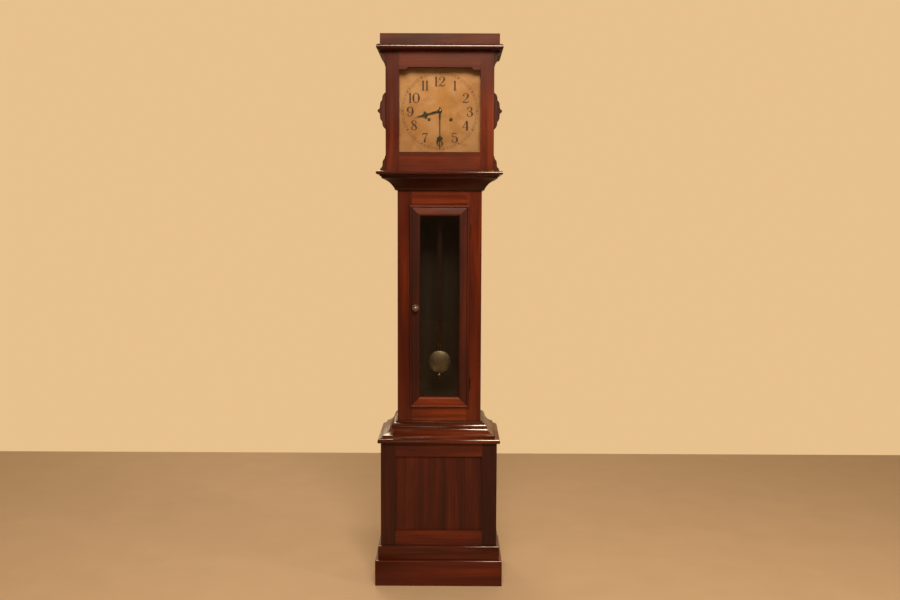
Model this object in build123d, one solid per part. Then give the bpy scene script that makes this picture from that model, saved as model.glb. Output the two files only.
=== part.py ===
from build123d import *
import os
from math import asin, cos, pi, radians, sin

# Tall case clock with an eight-day spring movement and a seconds pendulum.
# Millimetres. +Z up, front faces -Y, X = 0 is the middle of the case.
# The origin is the middle of the rectangle that the plinth stands on.

# ---- driving dimensions of the case ----
HEIGHT = 1981.0
DEPTH = 305.0
BACK = DEPTH / 2
BOARD = 12.0              # thin boards: sides and back
FRAME = 20.0              # thick boards: front frames
INNER_BACK = BACK - BOARD

TRUNK_HALF = 152.0
TRUNK_FRONT = -74.5
TRUNK_OPENING = 100.0     # half width of the door opening
BASE_HALF = 210.2
BASE_FRONT = -132.5
BASE_STILE = 53.0
HOOD_HALF = 193.0
HOOD_FRONT = -115.0

PLINTH_TOP = 94.0
UPPER_PLINTH_TOP = 145.0
BASE_TOP = 524.6
MOULDING_TOP = 596.0
COVE_BOTTOM = 1436.0
LEDGE_BOTTOM = 1489.9
LEDGE_TOP = 1502.5
CORNICE_BOTTOM = 1925.2
CORNICE_TOP = 1943.7

# ---- trunk door ----
DOOR_HALF = 108.5         # over its lip
DOOR_BOTTOM = 644.6
DOOR_TOP = 1382.4
DOOR_MEMBER = 38.5        # width of its moulded frame
DOOR_LIP = 10.0           # how far the lip laps over the case, plus clearance
DOOR_FACE_GAP = 0.5
DOOR_BACK = -58.0
TRUNK_HINGE_X = 112.0
TRUNK_HINGE_Y = -77.7
KNOB_X = -86.2
KNOB_Z = 1010.7

# ---- hood door ----
HOOD_DOOR_HALF = 192.0
HOOD_DOOR_BACK = -95.0
HOOD_DOOR_Z = (1503.8, 1924.2)
HOOD_OPENING_HALF = 144.0
HOOD_OPENING_Z = (1570.5, 1858.3)
HOOD_HINGE_X = 190.0
HOOD_HINGE_Y = -113.0

# ---- dial and movement ----
DIAL_HALF = 152.4         # a twelve-inch square dial
DIAL_Z = 1718.0
MIDDLE_EAR_Z = DIAL_Z - 3.5
DIAL_FRONT = -77.0
DIAL_BACK = -75.0
WINDING_X = 39.0
WINDING_DROP = 31.0
WINDING_Z = DIAL_Z - WINDING_DROP
FRONT_PLATE = (-45.0, -42.0)
BACK_PLATE = (10.0, 13.0)
PLATE_HALF = 70.0
SEAT_TOP = 1636.0
PLATE_TOP = 1806.0
CHEEK_TOP = SEAT_TOP - 18.0
HOUR_ANGLE = 255.0        # half past eight
MINUTE_ANGLE = 180.0

# ---- pendulum ----
PENDULUM_Y = 24.0
SWING_Z = 1785.0          # where the suspension spring bends
BOB_Z = 798.6
BOB_RADIUS = 42.3
ROD_HALF = 9.0
ROD_BOTTOM = 865.4

RUNNING = 0.05            # radial clearance of a turning fit


# ---- helpers ----
def block(x, y, z):
    """A box from (low, high) pairs."""
    size = (x[1] - x[0], y[1] - y[0], z[1] - z[0])
    middle = ((x[0] + x[1]) / 2, (y[0] + y[1]) / 2, (z[0] + z[1]) / 2)
    return Pos(*middle) * Box(*size)


def bar_y(x, z, radius, y):
    """A round bar along Y from y[0] to y[1]."""
    return Pos(x, (y[0] + y[1]) / 2, z) * Rot(90, 0, 0) * Cylinder(radius, y[1] - y[0])


def bar_z(x, y, radius, z):
    """A round bar along Z from z[0] to z[1]."""
    return Pos(x, y, (z[0] + z[1]) / 2) * Cylinder(radius, z[1] - z[0])


def mirrored(solid):
    """The same piece on the other side of the clock."""
    return solid.mirror(Plane.YZ)


def pair(solid):
    return [solid, mirrored(solid)]


def front_prism(face, y):
    """A face drawn with X to the right and Z up, thick from y[0] to y[1]."""
    plane = Plane(origin=(0, y[1], 0), x_dir=(1, 0, 0), z_dir=(0, -1, 0))
    return extrude(plane * face, amount=y[1] - y[0])


def front_polygon(points, y):
    return front_prism(make_face(Polyline(*points, close=True)), y)


def plan_polygon(points):
    """A tall prism over a polygon in X and Y."""
    return extrude(make_face(Polyline(*points, close=True)), amount=HEIGHT)


def turned(profile):
    """A round piece about the Y axis from (radius, y) edges."""
    return revolve(make_face(profile), axis=Axis.Y)


def dome(rim, apex_y):
    """A cap's arc from its rim to the axis, centred on the axis."""
    radius, rim_y = rim
    rise = apex_y - rim_y
    sphere = (radius ** 2 + rise ** 2) / (2 * rise)
    half = asin(radius / abs(sphere)) / 2
    middle = (abs(sphere) * sin(half), apex_y - sphere * (1 - cos(half)))
    return ThreePointArc(rim, middle, (0, apex_y))


def save(name, *solids):
    shape = solids[0] if len(solids) == 1 else Compound(children=list(solids))
    export_step(shape, f"parts/{name}.step")


# ---- mouldings round the front and both sides ----
def wrapped_moulding(face, half, front, reach):
    """A moulding's front piece and its two side returns, mitred at the corners.

    face is drawn in (projection, height). Projection 0 lies at x = half and
    y = front, and reach is its lowest and highest projection.
    """
    low, high = reach
    end = half + high
    across = Plane(origin=(end, front, 0), x_dir=(0, -1, 0), z_dir=(-1, 0, 0))
    along = Plane(origin=(half, BACK, 0), x_dir=(1, 0, 0), z_dir=(0, -1, 0))
    front_bar = extrude(across * face, amount=2 * end)
    side_bar = extrude(along * face, amount=BACK - front + high)
    inner = (half + low, front - low)
    outer = (half + high, front - high)
    front_plan = plan_polygon([(-inner[0], inner[1]), inner, outer, (-outer[0], outer[1])])
    side_plan = plan_polygon([inner, (inner[0], BACK), (outer[0], BACK), outer])
    return [front_bar & front_plan] + pair(side_bar & side_plan)


def plinth_face(reach, z, rounding):
    """A board's section with its top front edge rounded."""
    corner = rounding * (1 - cos(pi / 4))
    return make_face([
        Line((reach[0], z[0]), (reach[1], z[0])),
        Line((reach[1], z[0]), (reach[1], z[1] - rounding)),
        ThreePointArc((reach[1], z[1] - rounding), (reach[1] - corner, z[1] - corner),
                      (reach[1] - rounding, z[1])),
        Line((reach[1] - rounding, z[1]), (reach[0], z[1])),
        Line((reach[0], z[1]), (reach[0], z[0])),
    ])


def base_moulding_face():
    """Fillet, ovolo, hollow, step, slope and overhanging lip, from the top down."""
    overhang = BASE_HALF - TRUNK_HALF
    return make_face([
        Line((0, BASE_TOP), (overhang, BASE_TOP)),
        Line((overhang, BASE_TOP), (68, BASE_TOP)),
        ThreePointArc((68, BASE_TOP), (69.5, 531.5), (67, 538.5)),
        Line((67, 538.5), (52, 544)),
        Line((52, 544), (52, 550)),
        Line((52, 550), (48, 551.5)),
        ThreePointArc((48, 551.5), (32, 559), (24, 569)),
        Line((24, 569), (22, 570)),
        ThreePointArc((22, 570), (19, 583), (9, 591)),
        Line((9, 591), (6, 591)),
        Line((6, 591), (6, MOULDING_TOP)),
        Line((6, MOULDING_TOP), (0, MOULDING_TOP)),
        Line((0, MOULDING_TOP), (0, BASE_TOP)),
    ])


def cove_face():
    """A cove that flares from the trunk out to the ledge, with a fillet at each end."""
    return make_face([
        Line((0, COVE_BOTTOM), (9, COVE_BOTTOM)),
        Line((9, COVE_BOTTOM), (10, 1441)),
        ThreePointArc((10, 1441), (26, 1461), (50, 1476)),
        Line((50, 1476), (54, 1477)),
        Line((54, 1477), (54, 1483)),
        Line((54, 1483), (60, 1484)),
        Line((60, 1484), (60, LEDGE_BOTTOM)),
        Line((60, LEDGE_BOTTOM), (0, LEDGE_BOTTOM)),
        Line((0, LEDGE_BOTTOM), (0, COVE_BOTTOM)),
    ])


def ledge_face():
    """A board with a half-round nose."""
    nose = (LEDGE_TOP - LEDGE_BOTTOM) / 2
    middle = LEDGE_BOTTOM + nose
    reach = 73.0
    return make_face([
        Line((0, LEDGE_BOTTOM), (reach - nose, LEDGE_BOTTOM)),
        ThreePointArc((reach - nose, LEDGE_BOTTOM), (reach, middle), (reach - nose, LEDGE_TOP)),
        Line((reach - nose, LEDGE_TOP), (0, LEDGE_TOP)),
        Line((0, LEDGE_TOP), (0, LEDGE_BOTTOM)),
    ])


# ---- base ----
def save_base():
    save("lower_plinth", *wrapped_moulding(
        plinth_face((0, 20.3), (0, PLINTH_TOP), 5), BASE_HALF, BASE_FRONT + 0.3, (0, 20.3)))
    save("upper_plinth", *wrapped_moulding(
        plinth_face((-10, 10), (PLINTH_TOP, UPPER_PLINTH_TOP), 4), BASE_HALF, BASE_FRONT,
        (-10, 10)))
    side_y = (BASE_FRONT + FRAME, BACK)
    inside = BASE_HALF - BOARD
    inner = BASE_HALF - 10
    low_floor = block((-inner, inner), (BASE_FRONT + 10, BACK),
                      (UPPER_PLINTH_TOP - 18, UPPER_PLINTH_TOP))
    back = block((-inside, inside), (INNER_BACK, BACK), (UPPER_PLINTH_TOP, BASE_TOP))
    trunk_floor = block((-inside, inside), (side_y[0], INNER_BACK), (BASE_TOP - 18, BASE_TOP))
    blocks = []
    for y in (BASE_FRONT + 0.3, BACK - 40):
        corner = block((inner - 40, inner), (y, y + 40), (0, UPPER_PLINTH_TOP - 18))
        corner &= block((0, inner), (BASE_FRONT + 10, BACK), (0, UPPER_PLINTH_TOP))
        blocks += pair(corner)
    save("base_inner_boards", low_floor, back, trunk_floor, *blocks)

    front = (BASE_FRONT, BASE_FRONT + FRAME)
    opening = BASE_HALF - BASE_STILE
    panel_y = (BASE_FRONT + 7, BASE_FRONT + 15)
    panel = block((-opening - 8, opening + 8), panel_y, (192, 483))
    stile = block((opening, BASE_HALF), front, (UPPER_PLINTH_TOP, BASE_TOP)) - panel
    rail_top = block((-opening, opening), front, (475, BASE_TOP)) - panel
    rail_bottom = block((-opening, opening), front, (UPPER_PLINTH_TOP, 200)) - panel
    save("base_stiles", *pair(stile))
    save("base_rails", rail_top, rail_bottom)
    save("base_panel", panel)

    save("base_sides", *pair(block((inside, BASE_HALF), side_y, (UPPER_PLINTH_TOP, BASE_TOP))))
    save("base_moulding", *wrapped_moulding(
        base_moulding_face(), TRUNK_HALF, TRUNK_FRONT, (0, 70)))


# ---- trunk ----
def hinge_stations():
    return (DOOR_BOTTOM + 90, DOOR_TOP - 90)


def trunk_hinge_case_leaf(z):
    """A leaf let into the case's face, with the knuckles above and below the door's."""
    leaf = block((104, TRUNK_HINGE_X), (TRUNK_FRONT, TRUNK_FRONT + 1.5), (z - 24, z + 24))
    web = block((TRUNK_HINGE_X - 0.8, TRUNK_HINGE_X), (TRUNK_HINGE_Y, TRUNK_FRONT + 1.5), (z - 24, z + 24))
    barrel = bar_z(TRUNK_HINGE_X, TRUNK_HINGE_Y, 2.6, (z - 24, z + 24))
    room = block((100, 116), (-90, TRUNK_FRONT), (z - 8.3, z + 8.3))
    bore = bar_z(TRUNK_HINGE_X, TRUNK_HINGE_Y, 1.2, (z - 24, z + 24))
    return leaf + (web + barrel - room) - bore


def trunk_hinge_door_leaf(z):
    """A leaf let into the back of the door's lip, with the middle knuckle."""
    lip_back = TRUNK_FRONT - DOOR_FACE_GAP
    leaf = block((101, TRUNK_HINGE_X), (lip_back - 1.2, lip_back), (z - 8, z + 8))
    barrel = bar_z(TRUNK_HINGE_X, TRUNK_HINGE_Y, 2.6, (z - 8, z + 8))
    return leaf + barrel - bar_z(TRUNK_HINGE_X, TRUNK_HINGE_Y, 1.2 + RUNNING, (z - 9, z + 9))


def save_trunk():
    front = (TRUNK_FRONT, TRUNK_FRONT + FRAME)
    leaves = [trunk_hinge_case_leaf(z) for z in hinge_stations()]
    stile = block((TRUNK_OPENING, TRUNK_HALF), front, (BASE_TOP, LEDGE_TOP))
    hinge_stile = stile
    for z in hinge_stations():
        hinge_stile -= block((104, TRUNK_HINGE_X), (TRUNK_FRONT, TRUNK_FRONT + 1.5), (z - 24, z + 24))
    save("trunk_stiles", hinge_stile, mirrored(stile))
    opening = (-TRUNK_OPENING, TRUNK_OPENING)
    save("trunk_rails",
         block(opening, front, (DOOR_TOP - 8.5, LEDGE_TOP)),
         block(opening, front, (BASE_TOP, DOOR_BOTTOM + 8.5)))
    side_y = (TRUNK_FRONT + FRAME, BACK)
    inside = TRUNK_HALF - BOARD
    save("trunk_sides", *pair(block((inside, TRUNK_HALF), side_y, (BASE_TOP, CHEEK_TOP))))
    wing = block((TRUNK_HALF, HOOD_HALF - BOARD), (INNER_BACK, BACK), (LEDGE_TOP, CORNICE_BOTTOM))
    save("backboard",
         block((-inside, inside), (INNER_BACK, BACK), (BASE_TOP, CHEEK_TOP)),
         block((-TRUNK_HALF, TRUNK_HALF), (INNER_BACK, BACK), (SEAT_TOP, CORNICE_BOTTOM)),
         *pair(wing))
    save("trunk_cove", *wrapped_moulding(cove_face(), TRUNK_HALF, TRUNK_FRONT, (0, 60)))
    pins = [bar_z(TRUNK_HINGE_X, TRUNK_HINGE_Y, 1.2, (z - 24, z + 24)) for z in hinge_stations()]
    save("trunk_hinge_case_leaves", *leaves, *pins)


# ---- trunk door ----
def door_member_face(glass_y):
    """Rounded lip, groove, face that rises inwards and rounded sight edge, in (inset, y)."""
    lip_back = TRUNK_FRONT - DOOR_FACE_GAP
    return [
        Line((0, lip_back), (0, -79.5)),
        ThreePointArc((0, -79.5), (4.5, -83.5), (9, -79.5)),
        Line((9, -79.5), (10.5, -80.5)),
        Line((10.5, -80.5), (30.5, -83.6)),
        ThreePointArc((30.5, -83.6), (36, -82), (DOOR_MEMBER, -77.5)),
        Line((DOOR_MEMBER, -77.5), (DOOR_MEMBER, glass_y)),
        Line((DOOR_MEMBER, glass_y), (30, glass_y)),
        Line((30, glass_y), (30, DOOR_BACK)),
        Line((30, DOOR_BACK), (DOOR_LIP, DOOR_BACK)),
        Line((DOOR_LIP, DOOR_BACK), (DOOR_LIP, lip_back)),
        Line((DOOR_LIP, lip_back), (0, lip_back)),
    ]


def save_trunk_door():
    glass_y = -65.0
    face = make_face(door_member_face(glass_y))
    width = DOOR_MEMBER
    upright = Plane(origin=(-DOOR_HALF, 0, DOOR_BOTTOM), x_dir=(1, 0, 0), z_dir=(0, 0, 1))
    left = extrude(upright * face, amount=DOOR_TOP - DOOR_BOTTOM)
    left &= front_polygon([(-DOOR_HALF, DOOR_BOTTOM), (-DOOR_HALF, DOOR_TOP),
                           (-DOOR_HALF + width, DOOR_TOP - width),
                           (-DOOR_HALF + width, DOOR_BOTTOM + width)], (-90, -50))
    right = mirrored(left)
    leaves = [trunk_hinge_door_leaf(z) for z in hinge_stations()]
    for z in hinge_stations():
        right -= block((101, TRUNK_HINGE_X), (-76.2, TRUNK_FRONT - DOOR_FACE_GAP), (z - 8, z + 8))
        right -= block((107.5, TRUNK_HINGE_X), (-82, TRUNK_FRONT), (z - 25, z + 25))
    left -= bar_y(KNOB_X, KNOB_Z, 3 + RUNNING, (-90, -50))
    top = Plane(origin=(-DOOR_HALF, 0, DOOR_TOP), x_dir=(0, 0, -1), z_dir=(1, 0, 0))
    rail_top = extrude(top * face, amount=2 * DOOR_HALF)
    rail_top &= front_polygon([(-DOOR_HALF, DOOR_TOP), (DOOR_HALF, DOOR_TOP),
                               (DOOR_HALF - width, DOOR_TOP - width),
                               (-DOOR_HALF + width, DOOR_TOP - width)], (-90, -50))
    middle = (DOOR_TOP + DOOR_BOTTOM) / 2
    rail_bottom = rail_top.mirror(Plane(origin=(0, 0, middle), z_dir=(0, 0, 1)))
    save("trunk_door_stiles", left, right)
    save("trunk_door_rails", rail_top, rail_bottom)
    save("trunk_door_hinge_leaves", *leaves)

    glass_half = DOOR_HALF - 30.5
    glass_z = (DOOR_BOTTOM + 30.5, DOOR_TOP - 30.5)
    save("trunk_door_glass", block((-glass_half, glass_half), (glass_y, glass_y + 3), glass_z))
    bead_y = (glass_y + 3, DOOR_BACK)
    outer = DOOR_HALF - 30
    inner = DOOR_HALF - DOOR_MEMBER
    side = block((inner, outer), bead_y, (DOOR_BOTTOM + 30, DOOR_TOP - 30))
    low = block((-inner, inner), bead_y, (DOOR_BOTTOM + 30, DOOR_BOTTOM + DOOR_MEMBER))
    high = block((-inner, inner), bead_y, (DOOR_TOP - DOOR_MEMBER, DOOR_TOP - 30))
    save("trunk_glass_beads", *pair(side), low, high)

    knob = Pos(KNOB_X, 0, KNOB_Z) * turned([
        Line((0, -52), (3, -52)), Line((3, -52), (3, -86)), Line((3, -86), (12.5, -86)),
        Line((12.5, -86), (12.5, -87.5)), Line((12.5, -87.5), (5, -89.5)),
        Line((5, -89.5), (5, -93)),
        ThreePointArc((5, -93), (10.5, -97.5), (8.5, -102)),
        dome((8.5, -102), -105),
        Line((0, -105), (0, -52)),
    ])
    save("door_knob", knob)
    button = block((KNOB_X - 5, KNOB_X + 5), (-54, -52), (KNOB_Z - 24, KNOB_Z + 5))
    save("door_turn_button", button - bar_y(KNOB_X, KNOB_Z, 3, (-60, -50)))


# ---- hood ----
def middle_ear_face():
    """Stepped scroll with a round nose at mid height, in (x, z)."""
    x = HOOD_HALF
    z = MIDDLE_EAR_Z
    edges = []
    for s in (1, -1):
        edges += [
            Line((x, z + s * 64.5), (x + 3, z + s * 61)),
            ThreePointArc((x + 3, z + s * 61), (x + 8.5, z + s * 54), (x + 10.5, z + s * 45)),
            Line((x + 10.5, z + s * 45), (x + 11.5, z + s * 37)),
            ThreePointArc((x + 11.5, z + s * 37), (x + 16.5, z + s * 31), (x + 18.5, z + s * 22)),
            Line((x + 18.5, z + s * 22), (x + 19.5, z + s * 11)),
            Line((x + 19.5, z + s * 11), (x + 23, z + s * 5)),
        ]
    edges.append(ThreePointArc((x + 23, z + 5), (x + 27.5, z), (x + 23, z - 5)))
    edges.append(Line((x, z + 64.5), (x, z - 64.5)))
    return make_face(edges)


def end_ear_face(z, s):
    """Stepped scroll under the cornice (s = -1) or on the ledge (s = 1), in (x, z)."""
    x = HOOD_HALF
    return make_face([
        Line((x, z), (x + 18.5, z)),
        Line((x + 18.5, z), (x + 18.5, z + s * 4)),
        ThreePointArc((x + 18.5, z + s * 4), (x + 17, z + s * 10), (x + 12.5, z + s * 14)),
        Line((x + 12.5, z + s * 14), (x + 10.5, z + s * 20)),
        Line((x + 10.5, z + s * 20), (x + 10, z + s * 31)),
        ThreePointArc((x + 10, z + s * 31), (x + 8, z + s * 38), (x + 3.5, z + s * 43)),
        Line((x + 3.5, z + s * 43), (x, z + s * 56)),
        Line((x, z + s * 56), (x, z)),
    ])


def save_hood():
    hole = hood_pivot_hole((LEDGE_TOP - 7, LEDGE_TOP + 1))
    ledge = wrapped_moulding(ledge_face(), TRUNK_HALF, TRUNK_FRONT, (0, 73))
    save("hood_ledge", *[piece - hole for piece in ledge])
    inside = HOOD_HALF - BOARD
    side = block((inside, HOOD_HALF), (HOOD_DOOR_BACK + 1, BACK), (LEDGE_TOP, CORNICE_BOTTOM))
    save("hood_sides", *pair(side))
    ear_y = (HOOD_FRONT + 1, HOOD_FRONT + 31)
    ears = [front_prism(end_ear_face(CORNICE_BOTTOM, -1), ear_y),
            front_prism(middle_ear_face(), ear_y),
            front_prism(end_ear_face(LEDGE_TOP, 1), ear_y)]
    save("hood_ears_right", *ears)
    save("hood_ears_left", *[mirrored(ear) for ear in ears])

    cornice = block((-223.2, 223.2), (-146, BACK), (CORNICE_BOTTOM, CORNICE_TOP))
    nose_edges = [e for e in cornice.edges().filter_by(Axis.X) if e.center().Y < 0]
    nose_edges += list(cornice.edges().filter_by(Axis.Y))
    cornice = fillet(nose_edges, 9)
    save("cornice_board", cornice - hood_pivot_hole((CORNICE_BOTTOM - 1, CORNICE_BOTTOM + 8)))

    frieze_y = (-133, -133 + BOARD)
    frieze_z = (CORNICE_TOP, HEIGHT)
    save("frieze",
         block((-BASE_HALF, BASE_HALF), frieze_y, frieze_z),
         *pair(block((BASE_HALF - BOARD, BASE_HALF), (frieze_y[1], BACK), frieze_z)),
         block((BOARD - BASE_HALF, BASE_HALF - BOARD), (frieze_y[1], BACK), (HEIGHT - 14, HEIGHT - 4)))
    save("seat_board", seat_board())


def seat_board():
    board = block((-TRUNK_HALF, TRUNK_HALF), (-60, BACK), (CHEEK_TOP, SEAT_TOP))
    return board - block((-38, 38), (PENDULUM_Y - 13, PENDULUM_Y + 13), (CHEEK_TOP, SEAT_TOP))


def hood_pivot_hole(z):
    return bar_z(HOOD_HINGE_X, HOOD_HINGE_Y, 1.5 + RUNNING, z)


# ---- hood door ----
def save_hood_door():
    y = (HOOD_FRONT, HOOD_DOOR_BACK)
    low, high = HOOD_DOOR_Z
    step = 8.0
    shoulder = 113.0
    glass_y = (-103.0, -100.0)
    glass_half = HOOD_OPENING_HALF + 6
    glass_z = (HOOD_OPENING_Z[0] - 6, HOOD_OPENING_Z[1] + step + 6)
    rebate = block((-glass_half, glass_half), (glass_y[0], HOOD_DOOR_BACK), glass_z)
    plate_low = block((180, 192), y, (low, low + 1.5))
    plate_high = block((180, 192), y, (high - 1.5, high))
    stile = block((HOOD_OPENING_HALF, HOOD_DOOR_HALF), y, HOOD_DOOR_Z) - rebate
    rail_low = block((-HOOD_OPENING_HALF, HOOD_OPENING_HALF), y, (low, HOOD_OPENING_Z[0])) - rebate
    rail_high = block((-HOOD_OPENING_HALF, HOOD_OPENING_HALF), y, (HOOD_OPENING_Z[1], high))
    rail_high -= front_polygon([(-shoulder - 4, HOOD_OPENING_Z[1]), (-shoulder, HOOD_OPENING_Z[1] + step),
                                (shoulder, HOOD_OPENING_Z[1] + step),
                                (shoulder + 4, HOOD_OPENING_Z[1])], y)
    rail_high -= rebate
    save("hood_door_stiles", stile - plate_low - plate_high, mirrored(stile))
    save("hood_door_rails", rail_high, rail_low)
    save("hood_door_pivots",
         plate_low + bar_z(HOOD_HINGE_X, HOOD_HINGE_Y, 1.5, (low - 7, low + 1)),
         plate_high + bar_z(HOOD_HINGE_X, HOOD_HINGE_Y, 1.5, (high - 1, high + 7)))
    save("hood_door_glass", block((-glass_half + 0.5, glass_half - 0.5), glass_y,
                                  (glass_z[0] + 0.5, glass_z[1] - 0.5)))
    bead_y = (glass_y[1], HOOD_DOOR_BACK)
    side = block((HOOD_OPENING_HALF, glass_half), bead_y, glass_z)
    across = (-HOOD_OPENING_HALF, HOOD_OPENING_HALF)
    save("hood_glass_beads", *pair(side),
         block(across, bead_y, (glass_z[0], HOOD_OPENING_Z[0])),
         block(across, bead_y, (HOOD_OPENING_Z[1] + step, glass_z[1])))


# ---- wheels ----
def gear(x, z, teeth, module, y, tooth_at):
    """A spur wheel on an axis along Y. tooth_at is one tooth's angle from +X, in degrees."""
    radius = teeth * module / 2
    step = 360 / teeth
    points = []
    for index in range(teeth):
        middle = tooth_at + index * step
        for r, part in ((radius - 1.05 * module, -0.31), (radius, -0.2), (radius + 0.75 * module, -0.09),
                        (radius + 0.75 * module, 0.09), (radius, 0.2), (radius - 1.05 * module, 0.31)):
            angle = radians(middle + part * step)
            points.append((x + r * cos(angle), z + r * sin(angle)))
    return front_polygon(points, y)


def crossed_out(x, z, hub, rim, y):
    """Four windows that leave a wheel with spokes."""
    windows = bar_y(x, z, rim, y) - bar_y(x, z, hub, y)
    windows -= Pos(x, 0, z) * (block((-2, 2), y, (-rim, rim)) + block((-rim, rim), y, (-2, 2)))
    return windows


# ---- dial, hands and motion work ----
MOTION_X = 24 * cos(radians(30))
MOTION_Z = DIAL_Z + 24 * sin(radians(30))


def hand_blade(outline, y):
    """A hand's blade, pointing up from the middle of the dial."""
    points = [(x, DIAL_Z + z) for x, z in outline]
    points += [(-x, DIAL_Z + z) for x, z in reversed(outline) if x > 0]
    return front_polygon(points, y)


def quatrefoil(height, lobe, y):
    """Four round lobes about a pierced middle."""
    foil = bar_y(0, DIAL_Z + height, 0.8 * lobe, y)
    spread = 1.5 * lobe
    for x, z in ((spread, 0), (-spread, 0), (0, spread), (0, -spread)):
        foil += bar_y(x, DIAL_Z + height + z, lobe, y)
    return foil - bar_y(0, DIAL_Z + height, 0.45 * lobe, y)


def at_clock_angle(shape, angle):
    return Pos(0, 0, DIAL_Z) * Rot(0, angle, 0) * Pos(0, 0, -DIAL_Z) * shape


def save_dial():
    dial = block((-DIAL_HALF, DIAL_HALF), (DIAL_FRONT, DIAL_BACK), (DIAL_Z - DIAL_HALF, DIAL_Z + DIAL_HALF))
    dial -= bar_y(0, DIAL_Z, 4.5, (-80, -70))
    for x in (-WINDING_X, WINDING_X):
        dial -= bar_y(x, WINDING_Z, 5.5, (-80, -70))
    save("dial_plate", dial)

    minute_y = (-86.0, -85.2)
    hour_y = (-82.8, -82.0)
    hour = hand_blade([(3.0, 0), (2.6, 9), (3.4, 24), (1.8, 44), (1.5, 62), (2.1, 68), (0, 98)], hour_y)
    hour += quatrefoil(54, 4.7, hour_y) + bar_y(0, DIAL_Z, 8, hour_y)
    save("hour_hand", at_clock_angle(hour - bar_y(0, DIAL_Z, 3.4, hour_y), HOUR_ANGLE))
    minute = hand_blade([(2.0, -14), (2.4, 0), (3.4, 14), (2.8, 24), (1.5, 36), (1.4, 112), (2.0, 120), (0, 136)],
                        minute_y)
    minute += quatrefoil(97, 4.0, minute_y) + bar_y(0, DIAL_Z, 6.5, minute_y)
    save("minute_hand", at_clock_angle(minute - bar_y(0, DIAL_Z, 2.4, minute_y), MINUTE_ANGLE))
    nut = Pos(0, 0, DIAL_Z) * turned([
        Line((0, -88), (4.2, -88)), Line((4.2, -88), (4.2, minute_y[0])),
        Line((4.2, minute_y[0]), (0, minute_y[0])), Line((0, minute_y[0]), (0, -88)),
    ])
    collet = Pos(0, 0, DIAL_Z) * turned([
        Line((0, -88), (4.2, -88)), dome((4.2, -88), -91), Line((0, -91), (0, -88)),
    ])
    save("hand_nut", nut + collet)

    cannon_gear = gear(0, DIAL_Z, 16, 0.75, (-52.5, -49.5), 30 + 180 / 16)
    cannon = cannon_gear + bar_y(0, DIAL_Z, 2.4, (minute_y[0], -49.5))
    save("cannon_pinion", cannon - bar_y(0, DIAL_Z, 1.5 + RUNNING, (-83, -49)))
    hour_wheel = gear(0, DIAL_Z, 48, 0.8, (-59, -57), 30)
    hour_wheel -= crossed_out(0, DIAL_Z, 6, 14.5, (-59, -57))
    hour_wheel += bar_y(0, DIAL_Z, 3.4, (hour_y[0], -55))
    save("hour_wheel", hour_wheel - bar_y(0, DIAL_Z, 2.4 + RUNNING, (-84, -54)))
    minute_wheel = gear(MOTION_X, MOTION_Z, 48, 0.75, (-52, -50), 210)
    minute_wheel -= crossed_out(MOTION_X, MOTION_Z, 6, 13.5, (-52, -50))
    minute_wheel += gear(MOTION_X, MOTION_Z, 12, 0.8, (-60, -52), 210 + 15)
    save("minute_wheel", minute_wheel - bar_y(MOTION_X, MOTION_Z, 1.5 + RUNNING, (-61, -49)))


# ---- movement ----
THIRD_X = -12.0
THIRD_Z = DIAL_Z + 22.2
ESCAPE_DROP = 28.3
ESCAPE_Z = SWING_Z - ESCAPE_DROP
ESCAPE_RADIUS = 20.0
PIN_WHEEL = (-45.0, WINDING_Z + 49.4)
FLY = (-45.0, WINDING_Z + 49.4 + 24.0)
HAMMER = (-64.0, 1648.0)
PILLARS = [(-62.0, 1796.0), (62.0, 1796.0), (0.0, 1643.0), (64.0, 1643.0)]
DIAL_FEET = [(-58.0, DIAL_Z - 62), (58.0, DIAL_Z - 62), (-58.0, DIAL_Z + 62), (58.0, DIAL_Z + 62)]


def save_plates():
    plates = []
    for y in (FRONT_PLATE, BACK_PLATE):
        plate = block((-PLATE_HALF, PLATE_HALF), y, (SEAT_TOP, PLATE_TOP))
        for x in (-WINDING_X, WINDING_X):
            plate -= bar_y(x, WINDING_Z, 4 + RUNNING, y)
        for x, z in ((0, DIAL_Z), (THIRD_X, THIRD_Z), (0, ESCAPE_Z), PIN_WHEEL, FLY):
            plate -= bar_y(x, z, 1.5, y)
        plate -= bar_y(0, SWING_Z, 1.5 + RUNNING, y)
        plate -= bar_y(*HAMMER, 1.5 + RUNNING, y)
        plates.append(plate)
    save("movement_plates", *plates)
    pillars = [bar_y(x, z, 4, (FRONT_PLATE[1], BACK_PLATE[0])) for x, z in PILLARS]
    feet = [bar_y(x, z, 2.5, (DIAL_BACK, FRONT_PLATE[0])) for x, z in DIAL_FEET]
    stud = bar_y(MOTION_X, MOTION_Z, 1.5, (-62, FRONT_PLATE[0]))
    save("pillars_and_dial_feet", *pillars, *feet, stud)


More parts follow.
